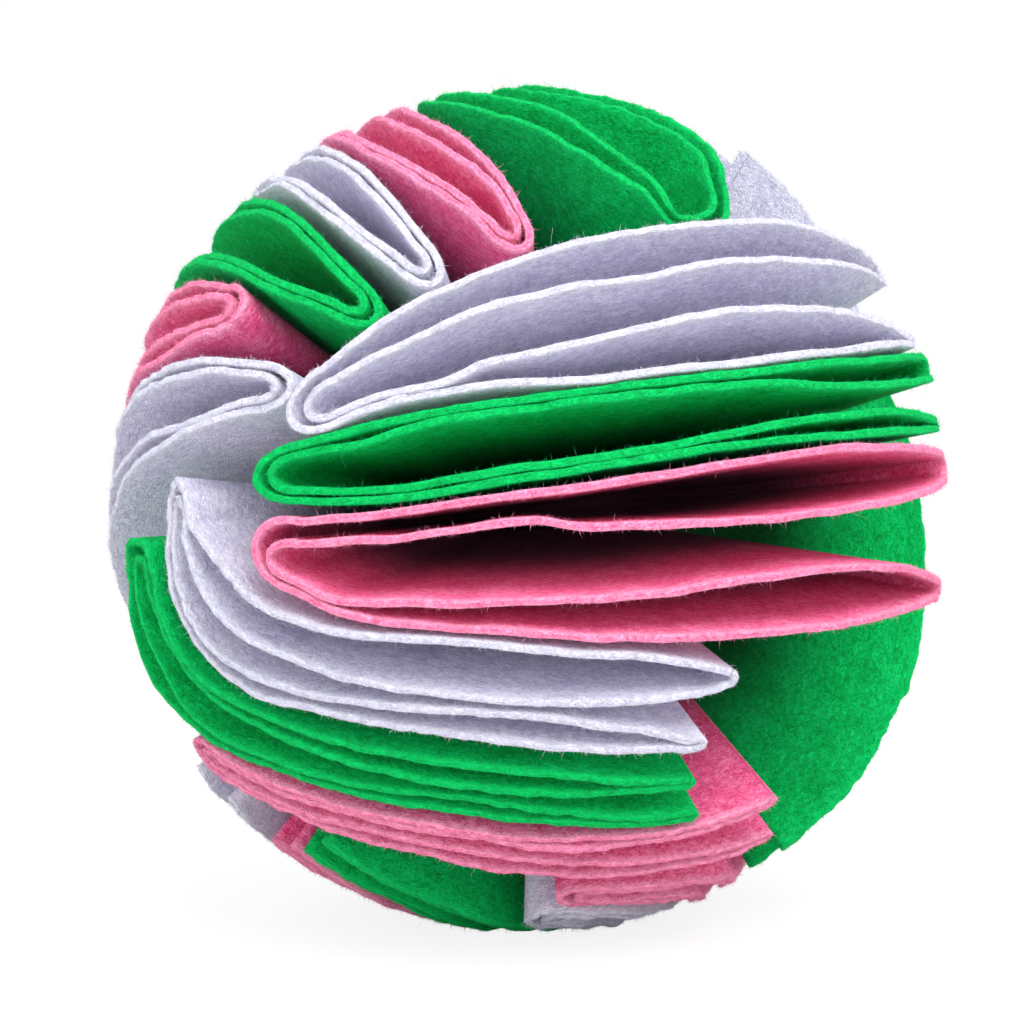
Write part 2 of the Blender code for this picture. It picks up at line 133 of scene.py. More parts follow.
def whole_leaf(leaf):
    """A leaf's six parts, with the usual ending where it gives fewer.

    They are: the places (longitude, latitude) down its middle; four rim lines, from the outer layer
    on the left to the outer layer on the right, as degrees to the left of the middle line at the
    stations; the share of the length that the left and the right side reach; the dents, each as
    (line, share of the length, width, degrees); the sunk part, as (depth at the closed end, share of
    the length on which it fades); and the power that shapes the closed end.
    """
    return leaf + USUAL_ENDING[len(leaf) - 3:]


def rim_rows(leaf):
    """The outer U and the inner U of a folded disc's rim, as rows of places paired point by point.

    Each U runs from the left tip down one side, round the closed end, and back along the other
    side to the right tip. Its distance from the middle line is a smooth curve through the values
    at five or eleven stations. Where the two layers on a side lie close, they are drawn together
    until they touch. The closed end is half an ellipse whose width is raised to a power, which
    makes it blunt (below 1) or pointed (above 1).
    """
    places, lines, reach, dents, _, blunt = whole_leaf(leaf)
    line = middle_line(places)
    length = line[1][-1]
    start = STATION_SHARES[0]
    shares = start + (1 - start) * np.linspace(0, 1, FINE_STEPS)
    turn = np.pi * np.arange(1, 2 * NOSE_STEPS) / (2 * NOSE_STEPS)
    stations = STATION_SHARES if len(lines[0]) == len(STATION_SHARES) else CLOSE_STATION_SHARES
    across_all = [smooth(stations, np.array(line_values), shares) for line_values in lines]
    for which, share, width_share, deep in dents:
        across_all[which] += deep * np.exp(-((shares - share) / width_share) ** 2)
    for outside, inside, way in ((0, 1, 1), (3, 2, -1)):
        gap = way * (across_all[outside] - across_all[inside])
        free = np.clip((gap - LOOSE_GAP) / (FREE_GAP - LOOSE_GAP), 0, 1)
        gap = TOUCHING_GAP + np.clip(gap - TOUCHING_GAP, 0, None) * free * free * (3 - 2 * free)
        across_all[inside] = across_all[outside] - way * gap
    rows, places_along = [], []
    for left, right, nose in ((0, 3, 0.0), (1, 2, NOSE_GAP)):
        sides = [across_all[left], across_all[right]]
        half = (sides[0][0] - sides[1][0]) / 2
        scaled = [start + (shares - start) * (r - start) / (1 - start) for r in reach]
        along = np.concatenate([scaled[0][::-1] * length,
                                start * length - (start * length - nose) * np.sin(turn),
                                scaled[1] * length])
        across = np.concatenate([sides[0][::-1],
                                 (sides[0][0] + sides[1][0]) / 2
                                 + half * np.sign(np.cos(turn)) * np.abs(np.cos(turn)) ** blunt,
                                 sides[1]])
        rows.append(lay(line, along, across))
        places_along.append(along / length)
    return rows, places_along


def fold_round(first, second, onward):
    """The rounded fold at a tip: half a circle from one line's end to the other's."""
    turn = np.pi * np.arange(1, ROUND_STEPS) / ROUND_STEPS
    middle, half = (first + second) / 2, (first - second) / 2
    bulge = onward * np.linalg.norm(half)
    return unit(middle + half * np.cos(turn)[:, None] + bulge * np.sin(turn)[:, None])


def leaf_mesh(name, leaf, rng):
    """A folded felt disc as one closed surface.

    The rim is a closed line on the ball: outer U, rounded tip, inner U back, rounded tip. Two
    copies of it, half the felt to each side, run straight in towards the ball's middle, and a
    half round joins them at the rim. Slow waves move the felt sideways and make its thickness and
    the rim's height uneven. Two strips close it: one at the tip, and one where the layers are
    squeezed into one.
    """
    (outer, inner), (outer_share, inner_share) = rim_rows(leaf)
    ends = [unit(outer[i] - outer[j]) for i, j in ((0, 3), (-1, -4))]
    tips = [fold_round(inner[0], outer[0], ends[0]), fold_round(outer[-1], inner[-1], ends[1])]
    loop = np.concatenate([outer, tips[1], inner[::-1], tips[0]])
    along = np.concatenate([outer_share, np.ones(len(tips[1])), inner_share[::-1],
                            np.ones(len(tips[0]))])
    ahead = unit(np.roll(loop, -2, 0) - np.roll(loop, 2, 0))
    away = unit(np.cross(ahead, loop))
    step = np.linalg.norm(loop - np.roll(loop, 1, 0), axis=1) * RIM_R
    run = np.cumsum(step)
    turn = 2 * np.pi * run / run[-1]
    sway = WAVE * slow_wave(rng, turn, np.arange(5, 60))
    ragged = rng.normal(size=len(loop))
    ragged = RAGGED * (ragged + np.roll(ragged, 1) + np.roll(ragged, -1)) / 3
    rise = UNEVEN * slow_wave(rng, turn, np.arange(2, 26)) + ragged
    sunk, sunk_share = whole_leaf(leaf)[4]
    low = np.clip(1 - along / sunk_share, 0, 1)
    rise = rise - sunk * low * low * (3 - 2 * low)
    # down the outside, over the rim, and down the inside: distance from the middle and side
    down = 1 - (1 - np.linspace(0, 1, DOWN_ROWS + 1)) ** DOWN_POWER
    over = np.pi * np.arange(OVER_STEPS + 1) / OVER_STEPS
    far = np.concatenate([TIP_R + (RIM_R - TIP_R) * down[:-1], RIM_R + RIM_BULGE * np.sin(over),
                          (PRESSED_R + (RIM_R - PRESSED_R) * down[:-1])[::-1]])
    plump = 1 + PLUMP_SHARE * slow_wave(rng, turn, np.arange(4, 90))
    half_round = np.sign(np.cos(over)) * np.abs(np.cos(over)) ** EDGE_POWER
    side = np.concatenate([np.ones(DOWN_ROWS), half_round, -np.ones(DOWN_ROWS)]) * FELT / 2
    share = far / RIM_R
    near_rim = np.clip((share - UNEVEN_FROM_SHARE) / 0.2, 0, 1) ** 2
    radius = far[None, :] + rise[:, None] * near_rim[None, :]
    shift = (side[None, :] * plump[:, None] + sway[:, None]) * share[None, :]
    places = (loop[:, None, :] * radius[:, :, None] + away[:, None, :] * shift[:, :, None]
              + BALL_MIDDLE)
    places[..., 2] = np.maximum(places[..., 2], REST_HEIGHT)
    count, rows = radius.shape
    here = np.arange(count)[:, None] * rows + np.arange(rows - 1)[None, :]
    there = np.roll(np.arange(count), -1)[:, None] * rows + np.arange(rows - 1)[None, :]
    faces = np.stack([here, there, there + 1, here + 1], -1).reshape(-1, 4)
    pair = np.arange(len(outer) - 1)
    partner = len(outer) + len(tips[1]) + len(inner) - 1 - pair
    strips = [np.stack([k + rows * pair, k + rows * (pair + 1), k + rows * (partner - 1),
                        k + rows * partner], 1) for k in (0, rows - 1)]
    right = np.concatenate([[len(outer) - 1], len(outer) + np.arange(len(tips[1])),
                            [len(outer) + len(tips[1])]])
    left = np.concatenate([[len(loop) - len(tips[0]) - 1],
                           np.arange(len(loop) - len(tips[0]), len(loop)), [0]])
    faces = np.concatenate([faces, strips[0][:, ::-1], strips[1]]).tolist()
    faces += [(rows * right)[::-1].tolist(), (rows * left)[::-1].tolist()]
    faces += [(rows * right + rows - 1).tolist(), (rows * left + rows - 1).tolist()]
    mesh = bpy.data.meshes.new(name)
    mesh.from_pydata(places.reshape(-1, 3).tolist(), [], faces)
    return mesh, places, (run, far, side)


def felt_finish(name, face, edge, shade, fleck):
    """Needle-punched felt: tangled fibres that lie mostly along the rim, mottled, with pale flecks.

    The attribute "felt_place" holds metres along the rim, metres out from the middle and metres
    through the felt. Noises on it, squeezed along the rim, draw the fibres: wide patches,
    clumps of a millimetre, and single fibres. The attribute "edge" is highest along the two
    corners of the cut rim and falls away over a few millimetres; the paler colour it mixes in is
    partly the felt's pale fibre ends and partly painted light where light reaches into the folds.
    Deep in the folds the colour is darkened as painted shade, for the shade where the real felt's
    layers close up and hardly any light gets in.
    """
    finish = bpy.data.materials.new(name)
    finish.use_nodes = True
    nodes, links = finish.node_tree.nodes, finish.node_tree.links
    shader = nodes["Principled BSDF"]
    shader.inputs["Roughness"].default_value = 0.95
    shader.inputs["Specular IOR Level"].default_value = 0.1
    shader.inputs["Sheen Weight"].default_value = 0.45
    shader.inputs["Sheen Roughness"].default_value = 0.4
    shader.inputs["Sheen Tint"].default_value = edge
    place = nodes.new("ShaderNodeAttribute")
    place.attribute_name = "felt_place"
    noises = []
    for squeeze, scale, detail, roughness, distortion in (
            (0.9, 130, 3, 0.55, 0.2), (0.7, 900, 3, 0.65, 0.8), (0.5, 2600, 2, 0.7, 1.5)):
        lie = nodes.new("ShaderNodeVectorMath")
        lie.operation = "MULTIPLY"
        lie.inputs[1].default_value = (squeeze, 1.0, 1.0)
        links.new(place.outputs["Vector"], lie.inputs[0])
        noise = nodes.new("ShaderNodeTexNoise")
        noise.inputs["Scale"].default_value = scale
        noise.inputs["Detail"].default_value = detail
        noise.inputs["Roughness"].default_value = roughness
        noise.inputs["Distortion"].default_value = distortion
        links.new(lie.outputs["Vector"], noise.inputs["Vector"])
        noises.append(noise.outputs["Fac"])

    def mixed(share, first, second):
        blend = nodes.new("ShaderNodeMix")
        blend.data_type = "FLOAT"
        blend.inputs[0].default_value = share
        links.new(first, blend.inputs[2])
        links.new(second, blend.inputs[3])
        return blend.outputs[0]

    fibres = mixed(0.6, noises[1], noises[2])
    tangle = mixed(0.25, fibres, noises[0])
    ramp = nodes.new("ShaderNodeValToRGB")
    ramp.color_ramp.elements[0].position = 0.39
    ramp.color_ramp.elements[0].color = shade
    ramp.color_ramp.elements[1].position = 0.50
    ramp.color_ramp.elements[1].color = face
    ramp.color_ramp.elements.new(0.61).color = fleck
    links.new(tangle, ramp.inputs["Fac"])
    # The "edge" attribute mixes in the paler rim colour: partly pale fibre ends, partly painted light
    # near the mouths of the folds.
    rim = nodes.new("ShaderNodeAttribute")
    rim.attribute_name = "edge"
    ragged = nodes.new("ShaderNodeMath")
    ragged.operation = "MULTIPLY_ADD"
    ragged.inputs[1].default_value = 1.6
    links.new(fibres, ragged.inputs[0])
    links.new(rim.outputs["Fac"], ragged.inputs[2])
    narrow = nodes.new("ShaderNodeMapRange")
    narrow.inputs["From Min"].default_value = 1.05
    narrow.inputs["From Max"].default_value = 1.9
    links.new(ragged.outputs[0], narrow.inputs["Value"])
    colour = nodes.new("ShaderNodeMix")
    colour.data_type = "RGBA"
    colour.inputs[7].default_value = edge
    links.new(narrow.outputs[0], colour.inputs[0])
    links.new(ramp.outputs["Color"], colour.inputs[6])
    depth = nodes.new("ShaderNodeSeparateXYZ")
    links.new(place.outputs["Vector"], depth.inputs[0])
    # Painted shade: deeper in than 60 mm from the ball's middle the colour falls, down to 0.07 of
    # itself by 38 mm, for the shade deep in the folds.
    painted_fold_shade = nodes.new("ShaderNodeMapRange")
    painted_fold_shade.interpolation_type = "SMOOTHSTEP"
    painted_fold_shade.inputs["From Min"].default_value = 0.038
    painted_fold_shade.inputs["From Max"].default_value = 0.060
    painted_fold_shade.inputs["To Min"].default_value = 0.07
    links.new(depth.outputs[1], painted_fold_shade.inputs["Value"])
    speckle = nodes.new("ShaderNodeMapRange")
    speckle.inputs["From Min"].default_value = 0.38
    speckle.inputs["From Max"].default_value = 0.62
    speckle.inputs["To Min"].default_value = 0.80
    speckle.inputs["To Max"].default_value = 1.17
    links.new(fibres, speckle.inputs["Value"])
    # level: the felt's random speckle times the painted fold shade.
    level = nodes.new("ShaderNodeMath")
    level.operation = "MULTIPLY"
    links.new(painted_fold_shade.outputs[0], level.inputs[0])
    links.new(speckle.outputs[0], level.inputs[1])
    shaded = nodes.new("ShaderNodeVectorMath")
    shaded.operation = "SCALE"
    links.new(colour.outputs[2], shaded.inputs[0])
    links.new(level.outputs[0], shaded.inputs["Scale"])
    links.new(shaded.outputs[0], shader.inputs["Base Color"])
    bump = nodes.new("ShaderNodeBump")
    bump.inputs["Strength"].default_value = 0.8
    bump.inputs["Distance"].default_value = 0.0014
    links.new(fibres, bump.inputs["Height"])
    links.new(bump.outputs["Normal"], shader.inputs["Normal"])
    return finish


def fuzz_finish(name, colour):
    """Loose fibre ends of the felt: one pale colour, each a little different, and no gloss."""
    finish = bpy.data.materials.new(name)
    finish.use_nodes = True
    nodes, links = finish.node_tree.nodes, finish.node_tree.links
    shader = nodes["Principled BSDF"]
    shader.inputs["Roughness"].default_value = 0.8
    shader.inputs["Specular IOR Level"].default_value = 0.2
    place = nodes.new("ShaderNodeTexCoord")
    noise = nodes.new("ShaderNodeTexNoise")
    noise.inputs["Scale"].default_value = 900
    links.new(place.outputs["Object"], noise.inputs["Vector"])
    ramp = nodes.new("ShaderNodeValToRGB")
    ramp.color_ramp.elements[0].position = 0.35
    ramp.color_ramp.elements[0].color = [0.75 * c for c in colour[:3]] + [1]
    ramp.color_ramp.elements[1].position = 0.65
    ramp.color_ramp.elements[1].color = colour
    links.new(noise.outputs["Fac"], ramp.inputs["Fac"])
    links.new(ramp.outputs["Color"], shader.inputs["Base Color"])
    return finish


# Each felt: face colour; paler rim colour, partly pale fibre ends and partly painted light near the
# mouths of the folds; darker mottle; pale fleck.
FELTS = {
    "lavender": felt_finish("lavender_needle_felt", (0.72, 0.69, 0.90, 1), (0.71, 0.71, 0.82, 1),
                            (0.58, 0.54, 0.79, 1), (0.82, 0.81, 0.94, 1)),
    "green": felt_finish("green_needle_felt", (0.0, 0.47, 0.09, 1), (0.003, 0.56, 0.125, 1),
                         (0.0, 0.32, 0.05, 1), (0.005, 0.58, 0.14, 1)),
    "pink": felt_finish("pink_needle_felt", (0.97, 0.10, 0.30, 1), (1.0, 0.37, 0.57, 1),
                        (0.88, 0.045, 0.20, 1), (1.0, 0.25, 0.46, 1)),
}
FUZZES = {
    "lavender": fuzz_finish("lavender_fibre_ends", (0.76, 0.76, 0.86, 1)),
    "green": fuzz_finish("green_fibre_ends", (0.01, 0.58, 0.17, 1)),
    "pink": fuzz_finish("pink_fibre_ends", (0.98, 0.33, 0.52, 1)),
}


FIBRE_THICK = 0.00007
FIBRE_LENGTH = 0.00044            # of the middle one, when they are sorted by length
FIBRE_LIMITS = (0.00012, 0.0015)
FIBRE_SUNK = 0.00008              # how deep its root sits in the felt
LOOP_LENGTH = 0.0009
LOOP_LIMITS = (0.0004, 0.002)
STRAY_LENGTH = 0.0022
STRAY_LIMITS = (0.001, 0.006)
STRAY_THICK = 0.00003
STRAY_SUNK = 0.0002
STRAY_SPANS = 10
# The rim's paler colour is partly pale fibre ends and partly painted light; its slow fade down the
# faces is painted light where light reaches into the folds.
NEAR_EDGE = 0.0009                # how fast the rim's colour fades, close to it
FAR_EDGE = 0.004                  # and further down the faces


def fibres_mesh(name, roots, ways, lengths, thick, rng):
    """Short loose fibre ends: each a three-sided spike, from just inside the felt to a point."""
    count = len(roots)
    across = unit(np.cross(ways, rng.normal(size=(count, 3))))
    other = np.cross(ways, across)
    turn = 2 * np.pi * np.arange(3) / 3
    ring = (np.cos(turn)[None, :, None] * across[:, None, :]
            + np.sin(turn)[None, :, None] * other[:, None, :]) * thick / 2
    sunk = roots - ways * FIBRE_SUNK
    corners = np.concatenate([sunk[:, None] + ring, (roots + ways * lengths[:, None])[:, None]], 1)
    corners[..., 2] = np.maximum(corners[..., 2], REST_HEIGHT)
    sides = np.array([(0, 1, 3), (1, 2, 3), (2, 0, 3), (0, 2, 1)])
    faces = (4 * np.arange(count)[:, None, None] + sides[None]).reshape(-1, 3)
    mesh = bpy.data.meshes.new(name)
    mesh.from_pydata(corners.reshape(-1, 3).tolist(), [], faces.tolist())
    return mesh


def strays_mesh(name, roots, ways, lengths, thick, rng):
    """Stray fibres: each a three-sided thread of a few spans that curls as it leaves the felt.

    The thread's way turns by a steady angle about a random axis at each span, so it curls.
    """
    spans = STRAY_SPANS
    count = len(roots)
    axes = unit(rng.normal(size=(count, 3)))
    curl = rng.normal(size=(count, 1)) * 0.45
    middles = [roots - ways * STRAY_SUNK]
    way = ways
    for span in range(spans):
        way = unit(way + curl * np.cross(axes, way) + 0.18 * rng.normal(size=way.shape))
        middles.append(middles[-1] + way * lengths[:, None] / spans)
    middles = np.stack(middles, 1)
    across = unit(np.cross(ways, rng.normal(size=(count, 3))))
    other = unit(np.cross(ways, across))
    turn = 2 * np.pi * np.arange(3) / 3
    ring = (np.cos(turn)[None, :, None] * across[:, None, :]
            + np.sin(turn)[None, :, None] * other[:, None, :]) * thick / 2
    corners = middles[:, :, None] + ring[:, None]
    corners[..., 2] = np.maximum(corners[..., 2], REST_HEIGHT)
    first = 3 * np.arange(spans)[:, None] + np.arange(3)[None, :]
    following = 3 * np.arange(spans)[:, None] + (np.arange(3)[None, :] + 1) % 3
    sides = np.stack([first, following, following + 3, first + 3], -1).reshape(-1, 4)
    starts = 3 * (spans + 1) * np.arange(count)
    faces = (starts[:, None, None] + sides[None]).reshape(-1, 4).tolist()
    faces += np.stack([starts + 2, starts + 1, starts], 1).tolist()
    faces += (np.stack([starts, starts + 1, starts + 2], 1) + 3 * spans).tolist()
    mesh = bpy.data.meshes.new(name)
    mesh.from_pydata(corners.reshape(-1, 3).tolist(), [], faces)
    return mesh


def surface_points(places, rng, count, rows):
    """Random points between two rows of the felt's grid, and the ways out of the felt there."""
    around = rng.integers(0, len(places), count)
    row = rng.integers(rows[0], rows[1], count)
    u, v = rng.random((2, count, 1))
    following = (around + 1) % len(places)
    a, b = places[around, row], places[following, row]
    c, d = places[around, row + 1], places[following, row + 1]
    point = a + (b - a) * u + (c - a) * v + (d - c - b + a) * u * v
    return point, unit(np.cross(b - a, c - a))


def put_together(name, mesh, finish, smooth_faces=True):
    """A piece with this mesh and finish, at the origin."""
    mesh.materials.append(finish)
    mesh.polygons.foreach_set("use_smooth", np.full(len(mesh.polygons), smooth_faces))
    piece = bpy.data.objects.new(name, mesh)
    bpy.context.scene.collection.objects.link(piece)
    return piece


def string_leaf(name, leaf, fibres=6400, loops=200, strays=14):
    """Makes one folded disc with its fibre ends, and puts them in place of its plain solid."""
    colour = name.split("_")[0]
    rng = np.random.default_rng(sum(ord(letter) * (i + 1) for i, letter in enumerate(name)))
    mesh, places, (run, far, side) = leaf_mesh(name + "_disc", leaf, rng)
    down = np.clip(RIM_R - far, 0, None)
    middle_share = 1 - np.abs(side) / (FELT / 2)
    # edge: how much paler rim colour shows; partly pale fibre ends at the cut corners and partly
    # painted light, the slow fade down the faces being painted light.
    edge = (0.65 * np.exp(-down / NEAR_EDGE) * (1 - 0.6 * middle_share)
            + 0.35 * np.exp(-down / FAR_EDGE))
    mesh.attributes.new("edge", "FLOAT", "POINT").data.foreach_set(
        "value", np.tile(edge, len(places)).astype(np.float32))
    felt_place = np.stack(np.broadcast_arrays(run[:, None], far[None, :], side[None, :]), -1)
    mesh.attributes.new("felt_place", "FLOAT_VECTOR", "POINT").data.foreach_set(
        "vector", felt_place.reshape(-1).astype(np.float32))
    felt = put_together(name + "_disc", mesh, FELTS[colour])
    over_first = DOWN_ROWS
    over_last = DOWN_ROWS + OVER_STEPS - 1
    parts = [surface_points(places, rng, int(fibres * share), rows) for share, rows in
             ((0.70, (over_first, over_last + 1)), (0.15, (over_first - 2, over_first)),
              (0.15, (over_last + 1, over_last + 3)))]
    roots, ways = [np.concatenate(pair) for pair in zip(*parts)]
    ways = unit(ways + 0.8 * rng.normal(size=ways.shape))
    lengths = np.clip(rng.lognormal(np.log(FIBRE_LENGTH), 0.5, len(roots)), *FIBRE_LIMITS)
    fuzz_mesh = fibres_mesh(name + "_fibre_ends", roots, ways, lengths, FIBRE_THICK, rng)
    fuzz = put_together(name + "_fibre_ends", fuzz_mesh, FUZZES[colour])
    roots, ways = surface_points(places, rng, loops + strays, (over_first - 1, over_last + 2))
    ways = unit(0.6 * ways + 0.7 * rng.normal(size=ways.shape))
    lengths = np.concatenate([
        np.clip(rng.lognormal(np.log(LOOP_LENGTH), 0.4, loops), *LOOP_LIMITS),
        np.clip(rng.lognormal(np.log(STRAY_LENGTH), 0.5, strays), *STRAY_LIMITS)])
    stray_mesh = strays_mesh(name + "_stray_fibres", roots, ways, lengths, STRAY_THICK, rng)
    stray = put_together(name + "_stray_fibres", stray_mesh, FUZZES[colour])
    for piece in (felt, fuzz, stray):
        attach(piece, name)
    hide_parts(name)


FRONT_LEAVES = {
    "lavender_leaf_1": (
        ((-29, 10), (-15, 17), (9, 24), (38, 28), (72, 27)),
        ((4.1, 5.4, 6.8, 7.7, 8.2, 8.4, 8.8, 9.3, 9.6, 8.2, 7.6),
         (1.9, 2.2, 2.4, 3.0, 2.9, 2.9, 2.6, 3.5, 3.8, 4.2, 4.9),
         (-2.0, -2.7, -3.4, -3.6, -3.8, -3.9, -3.8, -3.3, -3.2, -4.1, -4.8),
         (-2.9, -3.7, -5.1, -6.5, -7.6, -8.2, -9.0, -9.6, -9.0, -7.6, -6.1)),
        (1.0, 0.95)),
    "green_leaf_1": (
        ((-34, 4), (-15, 6), (8, 9), (38, 13), (71, 15)),
        ((2.8, 3.6, 4.3, 4.6, 4.6, 4.6, 4.5, 4.2, 4.4, 4.7, 5.4),
         (1.3, 1.5, 2.5, 3.2, 3.1, 3.0, 2.7, 2.3, 1.5, 1.4, 2.3),
         (-2.2, -3.2, -3.4, -2.8, -2.4, -2.6, -2.5, -1.9, -2.0, -2.2, -2.9),
         (-3.5, -4.2, -4.6, -4.3, -4.1, -4.2, -4.0, -3.9, -4.4, -4.6, -4.6)),
        (1.0, 0.95)),
    "pink_leaf_1": (
        ((-34, -3), (-15, -6), (8, -6), (38, -4), (71, -2)),
        ((2.9, 4.4, 6.2, 7.6, 8.2, 8.4, 9.5, 10.6, 11.1, 10.6, 9.2),
         (0.2, 1.7, 3.2, 4.7, 5.1, 4.4, 4.1, 3.7, 4.2, 5.0, 6.1),
         (-3.5, -4.6, -4.4, -4.1, -4.0, -4.0, -3.8, -3.1, -3.0, -4.2, -6.6),
         (-5.3, -6.5, -6.8, -7.1, -7.6, -8.0, -8.7, -9.5, -9.8, -9.3, -8.8)),
        (1.0, 0.95)),
    "lavender_leaf_2": (
        ((-48.4, 3.4), (-46, -9), (-41, -15), (-28, -19), (-4, -22), (25, -24)),
        ((2.6, 5.4, 7.1, 6.8, 6.3, 6.0, 5.9, 6.6, 6.7, 6.8, 5.0),
         (0.8, 1.6, 2.2, 1.9, 1.4, 1.0, 0.4, -0.0, 0.2, 1.5, 3.0),
         (-0.6, -2.1, -3.0, -3.1, -3.0, -2.9, -2.6, -2.1, -1.8, -2.2, -2.8),
         (-2.2, -4.2, -5.4, -5.5, -5.3, -5.1, -4.8, -5.1, -5.4, -5.0, -4.4)),
        (1.0, 0.97), (), (0.0, 1.0), 1.7),
    "green_leaf_2": (
        ((-58, -4), (-58.5, -14), (-54, -23), (-36, -30), (-5, -35), (25, -36.5)),
        ((3.4, 4.6, 3.9, 3.6, 3.2),
         (1.6, 2.6, 1.6, 0.8, 1.6),
         (-2.4, -3.4, -1.8, -1.4, -2.2),
         (-5.0, -6.0, -3.8, -3.7, -3.5)),
        (0.98, 1.0), ((3, 0.15, 0.05, -4.5),), (0.0, 1.0), 0.6),
    "pink_leaf_2": (
        ((-61.5, -31.5), (-45, -37.2), (-20, -43), (11, -47), (45, -42)),
        ((2.2, 2.3, 2.9, 4.1, 4.6), (0.6, 0.7, 1.3, 2.2, 3.0), (-1.0, -0.9, -0.6, -1.2, -3.0),
         (-2.6, -2.6, -3.4, -4.0, -4.6)), (0.98, 1.0)),
    "pink_leaf_6": (
        ((6.5, -56.8), (25, -57.3), (48, -58.5), (72, -63.5), (96, -61), (112, -51), (120, -42)),
        ((2.4, 3.0, 3.0, 3.2, 3.4), (0.8, 1.2, 1.2, 1.4, 1.8), (-0.8, -1.0, -1.0, -1.2, -1.8),
         (-2.4, -2.8, -2.8, -3.0, -3.4)), (1.0, 1.0)),
    "lavender_leaf_6": (
        ((0, -63.5), (20, -67.5), (50, -72.5), (90, -73.5), (120, -63), (133, -49), (138, -41)),
        ((4.2, 4.0, 4.4, 4.6, 4.0), (2.4, 2.2, 2.2, 2.2, 2.4), (-2.0, -2.2, -2.2, -2.2, -2.4),
         (-4.0, -4.4, -4.6, -4.6, -4.0)), (1.0, 1.0)),
}

for leaf_name, leaf in FRONT_LEAVES.items():
    string_leaf(leaf_name, leaf)


# The upper left leaves: six more folded felt discs. They run back over the top and the left
# side, and their closed ends are pushed against the topmost front leaf. The left cord goes
# through their tips.
LEFT_LEAVES = {
    "lavender_leaf_3": (
        ((-30, 14.4), (-45, 14), (-64, 10), (-80, 2), (-95, -8), (-108, -20)),
        ((2.6, 4.4, 6.0, 7.4, 6.0), (1.0, 2.6, 2.6, 3.8, 4.4), (-0.9, -2.6, -3.8, -4.0, -4.4),
         (-2.6, -4.6, -5.8, -6.6, -6.0)), (1.0, 1.0)),
    "pink_leaf_3": (
        ((-42, 25), (-55, 25.5), (-68, 24), (-96, 16), (-120, 5)),
        ((3.4, 5.6, 5.8, 6.0, 5.0), (1.4, 3.0, 3.0, 3.0, 3.4), (-1.0, -2.0, -3.0, -3.0, -3.4),
         (-3.0, -4.6, -5.8, -6.0, -5.0)), (1.0, 1.0)),
    "green_leaf_3": (
        ((-20, 22.5), (-31, 29), (-50, 37), (-72, 39), (-100, 34), (-122, 25)),
        ((2.4, 4.6, 5.6, 6.0, 5.0), (0.8, 3.0, 3.6, 3.4, 3.4), (-1.0, -2.4, -3.0, -3.0, -3.4),
         (-2.6, -4.1, -5.2, -6.0, -5.0)), (1.0, 1.0)),
    "lavender_leaf_4": (
        ((-12.5, 27), (-25, 37.5), (-47, 49), (-75, 52.5), (-106, 48), (-130, 39)),
        ((2.2, 3.4, 4.4, 5.0, 5.0), (0.6, 1.8, 2.8, 3.4, 3.4), (-0.8, -1.6, -1.4, -2.0, -3.4),
         (-2.4, -3.4, -3.4, -4.4, -5.0)), (1.0, 1.0)),
    "pink_leaf_4": (
        ((-1.3, 31.6), (-9, 42), (-31, 56), (-62, 64.5), (-106, 61), (-139, 52)),
        ((2.4, 4.4, 5.4, 5.8, 5.0), (0.8, 2.8, 3.8, 4.0, 3.4), (-0.8, -1.2, -0.6, -1.4, -3.4),
         (-2.4, -3.6, -4.0, -4.4, -5.0)), (1.0, 1.0)),
    "green_leaf_4": (
        ((35, 40.5), (27, 50.5), (15, 60), (-14, 71), (-70, 80), (-165, 76), (-172, 63)),
        ((9.5, 10.6, 10.0, 8.5, 7.8, 7.4, 7.0, 6.2, 5.4, 5.1, 5.0),
         (7.4, 7.2, 5.9, 3.8, 3.0, 2.9, 3.2, 3.4, 3.6, 3.5, 3.4),
         (-2.4, -5.4, -7.2, -6.4, -5.8, -5.4, -4.8, -4.4, -4.4, -4.0, -3.4),
         (-5.4, -8.0, -9.6, -9.6, -9.2, -8.8, -8.0, -7.2, -6.6, -5.8, -5.0)),
        (1.0, 1.0), (), (0.0045, 0.11)),
}

for leaf_name, leaf in LEFT_LEAVES.items():
    string_leaf(leaf_name, leaf)


# The lower left leaves: three felt discs, folded flatter than the rest, that run under the ball
# and carry it. They hang on the front cord, and their lowest rims are pressed flat.
FLAT_LINES = ((2.8, 4.2, 4.6, 4.6, 4.0), (1.0, 2.0, 2.2, 2.2, 2.4),
              (-1.0, -2.0, -2.2, -2.2, -2.4), (-2.8, -4.2, -4.6, -4.6, -4.0))
LOWER_LEAVES = {
    "lavender_leaf_5": (
        ((-165, -41), (-149, -52), (-122, -58), (-95, -55), (-77, -46), (-67, -39)),
        FLAT_LINES, (1.0, 1.0)),
    "pink_leaf_5": (
        ((176, -44), (-178, -58), (-162, -71), (-110, -78.5), (-64, -71), (-59, -61.5), (-60, -50)),
        FLAT_LINES, (1.0, 1.0)),
    "green_leaf_5": (
        ((157, -50), (158, -64), (154, -78), (50, -86.5), (-16, -75), (-26, -66), (-36, -57),
         (-44, -48)),
        FLAT_LINES, (1.0, 1.0)),
}

for leaf_name, leaf in LOWER_LEAVES.items():
    string_leaf(leaf_name, leaf)


